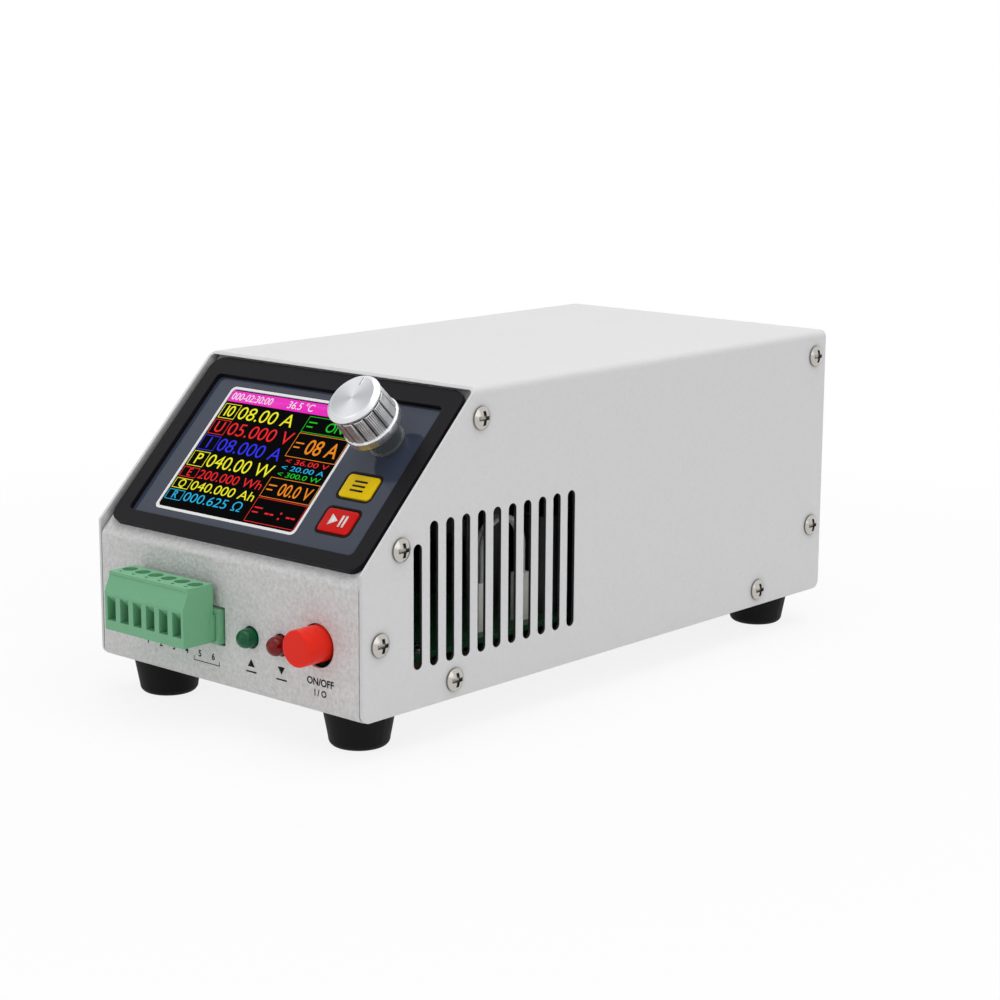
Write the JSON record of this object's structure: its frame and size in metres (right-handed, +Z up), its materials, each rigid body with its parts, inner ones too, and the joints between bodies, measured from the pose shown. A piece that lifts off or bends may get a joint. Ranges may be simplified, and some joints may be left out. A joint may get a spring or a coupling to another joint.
{
  "type": "dc electronic load",
  "caption": "Bench DC electronic load: sheet-metal case on rubber feet with a sloped display, knob, keys, pluggable screw terminals and a rear fan.",
  "frame": {"origin": "on the table below the middle of the whole object", "axes": "+X to the right seen from the front, +Y from the front to the rear, +Z up"},
  "size_m": [0.101, 0.2108, 0.091],
  "materials": {
    "cover_paint": "fine wrinkle powder coat, light grey",
    "chassis_paint": "fine wrinkle powder coat, light grey",
    "screw_steel": "nickel plated",
    "foot_rubber": "moulded, matte",
    "bezel_plastic": "fine spark texture, black",
    "window_plastic": "glossy, dark blue grey",
    "screen_white": "moulded, white",
    "screen_glass": "glossy black screen",
    "board_green": "solder resist, green",
    "switch_plastic": "moulded, black",
    "plunger_plastic": "moulded, ivory",
    "menu_key_yellow": "glossy, yellow",
    "run_key_red": "glossy, red",
    "encoder_metal": "die cast and pressed, grey",
    "collar_plastic": "smoky grey, glossy",
    "knob_aluminium": "turned and knurled, bright",
    "button_red": "glossy, orange red",
    "lamp_green": "clear moulded epoxy, green",
    "lamp_red": "clear moulded epoxy, red",
    "terminal_green": "moulded, green",
    "contact_brass": "tinned brass",
    "terminal_steel": "zinc plated",
    "sink_aluminium": "extruded, black anodised",
    "capacitor_sleeve": "shrink sleeve, dark",
    "cable_grey": "PVC insulation, grey",
    "lead_red": "insulated leads",
    "fan_plastic": "moulded, black",
    "guard_chrome": "bright plated wire"
  },
  "bodies": {
    "case": {"top_cover": "cover_paint", "front_panel": "chassis_paint", "base_plate": "chassis_paint", "rear_panel": "chassis_paint", "cover_screws": "screw_steel", "rubber_feet": "foot_rubber", "foot_screws": "screw_steel", "display_bezel": "bezel_plastic", "display_window": "window_plastic", "screen_frame": "screen_white", "lcd_panel": "screen_glass", "display_pcb": "board_green", "display_screws": "screw_steel", "tact_switches": "switch_plastic", "encoder_body": "encoder_metal", "collar_nut": "collar_plastic", "main_pcb": "board_green", "pcb_posts": "contact_brass", "pcb_screws": "screw_steel", "power_switch": "switch_plastic", "green_led": "lamp_green", "red_led": "lamp_red", "led_holders": "switch_plastic", "terminal_header": "terminal_green", "header_pins": "contact_brass", "heatsink": "sink_aluminium", "sink_posts": "sink_aluminium", "mosfets": "switch_plastic", "capacitors": "capacitor_sleeve", "wire_sockets": "plunger_plastic", "inner_cables": "cable_grey", "fan_leads": "lead_red", "supply_jack": "switch_plastic", "fan_frame": "fan_plastic", "fan_guard": "guard_chrome", "fan_screws": "screw_steel"},
    "encoder_push": {"push_plate": "encoder_metal"},
    "knob": {"encoder_shaft": "encoder_metal", "knob": "knob_aluminium"},
    "menu_key": {"menu_key": "menu_key_yellow", "menu_plunger": "plunger_plastic"},
    "run_key": {"run_key": "run_key_red", "run_plunger": "plunger_plastic"},
    "power_button": {"power_button": "button_red", "switch_stem": "plunger_plastic"},
    "terminal_plug": {"terminal_plug": "terminal_green", "plug_contacts": "contact_brass"},
    "fan_rotor": {"fan_rotor": "fan_plastic"},
    "terminal_screw_1": {"terminal_screw_1": "terminal_steel"},
    "wire_clamp_1": {"wire_clamp_1": "terminal_steel"},
    "terminal_screw_2": {"terminal_screw_2": "terminal_steel"},
    "wire_clamp_2": {"wire_clamp_2": "terminal_steel"},
    "terminal_screw_3": {"terminal_screw_3": "terminal_steel"},
    "wire_clamp_3": {"wire_clamp_3": "terminal_steel"},
    "terminal_screw_4": {"terminal_screw_4": "terminal_steel"},
    "wire_clamp_4": {"wire_clamp_4": "terminal_steel"},
    "terminal_screw_5": {"terminal_screw_5": "terminal_steel"},
    "wire_clamp_5": {"wire_clamp_5": "terminal_steel"},
    "terminal_screw_6": {"terminal_screw_6": "terminal_steel"},
    "wire_clamp_6": {"wire_clamp_6": "terminal_steel"}
  },
  "joints": [
    {"name": "knob_push", "type": "slide", "parent": "case", "child": "encoder_push", "axis": [0, 0.7071, -0.7071], "range_m": [0, 0.0005], "stiffness_N_per_m": 2000, "springref_m": -0.0005},
    {"name": "knob_turn", "type": "hinge", "parent": "encoder_push", "child": "knob", "pos_m": [0.0298, -0.06546, 0.07478], "axis": [0, -0.7071, 0.7071], "continuous": true},
    {"name": "menu_key_press", "type": "slide", "parent": "case", "child": "menu_key", "axis": [0, 0.7071, -0.7071], "range_m": [0, 0.0005], "stiffness_N_per_m": 1500, "springref_m": -0.0005},
    {"name": "run_key_press", "type": "slide", "parent": "case", "child": "run_key", "axis": [0, 0.7071, -0.7071], "range_m": [0, 0.0005], "stiffness_N_per_m": 1500, "springref_m": -0.0005},
    {"name": "power_button_press", "type": "slide", "parent": "case", "child": "power_button", "axis": [0, 1, 0], "range_m": [0, 0.003], "stiffness_N_per_m": 600, "springref_m": -0.001},
    {"name": "terminal_plug_pull", "type": "slide", "parent": "case", "child": "terminal_plug", "axis": [0, -1, 0], "range_m": [0, 0.014]},
    {"name": "fan_spin", "type": "hinge", "parent": "case", "child": "fan_rotor", "pos_m": [-0.017, 0.09075, 0.05423], "axis": [0, 1, 0], "continuous": true},
    {"name": "terminal_screw_1_turn", "type": "hinge", "parent": "terminal_plug", "child": "terminal_screw_1", "pos_m": [-0.0299, -0.09875, 0.034], "axis": [0, 0, -1], "range_deg": [0, 1728]},
    {"name": "wire_clamp_1_rise", "type": "slide", "parent": "terminal_plug", "child": "wire_clamp_1", "axis": [0, 0, 1], "range_m": [0, 0.0024]},
    {"name": "terminal_screw_2_turn", "type": "hinge", "parent": "terminal_plug", "child": "terminal_screw_2", "pos_m": [-0.02482, -0.09875, 0.034], "axis": [0, 0, -1], "range_deg": [0, 1728]},
    {"name": "wire_clamp_2_rise", "type": "slide", "parent": "terminal_plug", "child": "wire_clamp_2", "axis": [0, 0, 1], "range_m": [0, 0.0024]},
    {"name": "terminal_screw_3_turn", "type": "hinge", "parent": "terminal_plug", "child": "terminal_screw_3", "pos_m": [-0.01974, -0.09875, 0.034], "axis": [0, 0, -1], "range_deg": [0, 1728]},
    {"name": "wire_clamp_3_rise", "type": "slide", "parent": "terminal_plug", "child": "wire_clamp_3", "axis": [0, 0, 1], "range_m": [0, 0.0024]},
    {"name": "terminal_screw_4_turn", "type": "hinge", "parent": "terminal_plug", "child": "terminal_screw_4", "pos_m": [-0.01466, -0.09875, 0.034], "axis": [0, 0, -1], "range_deg": [0, 1728]},
    {"name": "wire_clamp_4_rise", "type": "slide", "parent": "terminal_plug", "child": "wire_clamp_4", "axis": [0, 0, 1], "range_m": [0, 0.0024]},
    {"name": "terminal_screw_5_turn", "type": "hinge", "parent": "terminal_plug", "child": "terminal_screw_5", "pos_m": [-0.00958, -0.09875, 0.034], "axis": [0, 0, -1], "range_deg": [0, 1728]},
    {"name": "wire_clamp_5_rise", "type": "slide", "parent": "terminal_plug", "child": "wire_clamp_5", "axis": [0, 0, 1], "range_m": [0, 0.0024]},
    {"name": "terminal_screw_6_turn", "type": "hinge", "parent": "terminal_plug", "child": "terminal_screw_6", "pos_m": [-0.0045, -0.09875, 0.034], "axis": [0, 0, -1], "range_deg": [0, 1728]},
    {"name": "wire_clamp_6_rise", "type": "slide", "parent": "terminal_plug", "child": "wire_clamp_6", "axis": [0, 0, 1], "range_m": [0, 0.0024]}
  ],
  "couplings": [
    {"joint": "terminal_screw_1_turn", "follows": "wire_clamp_1_rise", "rad_per_m": 12566},
    {"joint": "terminal_screw_2_turn", "follows": "wire_clamp_2_rise", "rad_per_m": 12566},
    {"joint": "terminal_screw_3_turn", "follows": "wire_clamp_3_rise", "rad_per_m": 12566},
    {"joint": "terminal_screw_4_turn", "follows": "wire_clamp_4_rise", "rad_per_m": 12566},
    {"joint": "terminal_screw_5_turn", "follows": "wire_clamp_5_rise", "rad_per_m": 12566},
    {"joint": "terminal_screw_6_turn", "follows": "wire_clamp_6_rise", "rad_per_m": 12566}
  ]
}
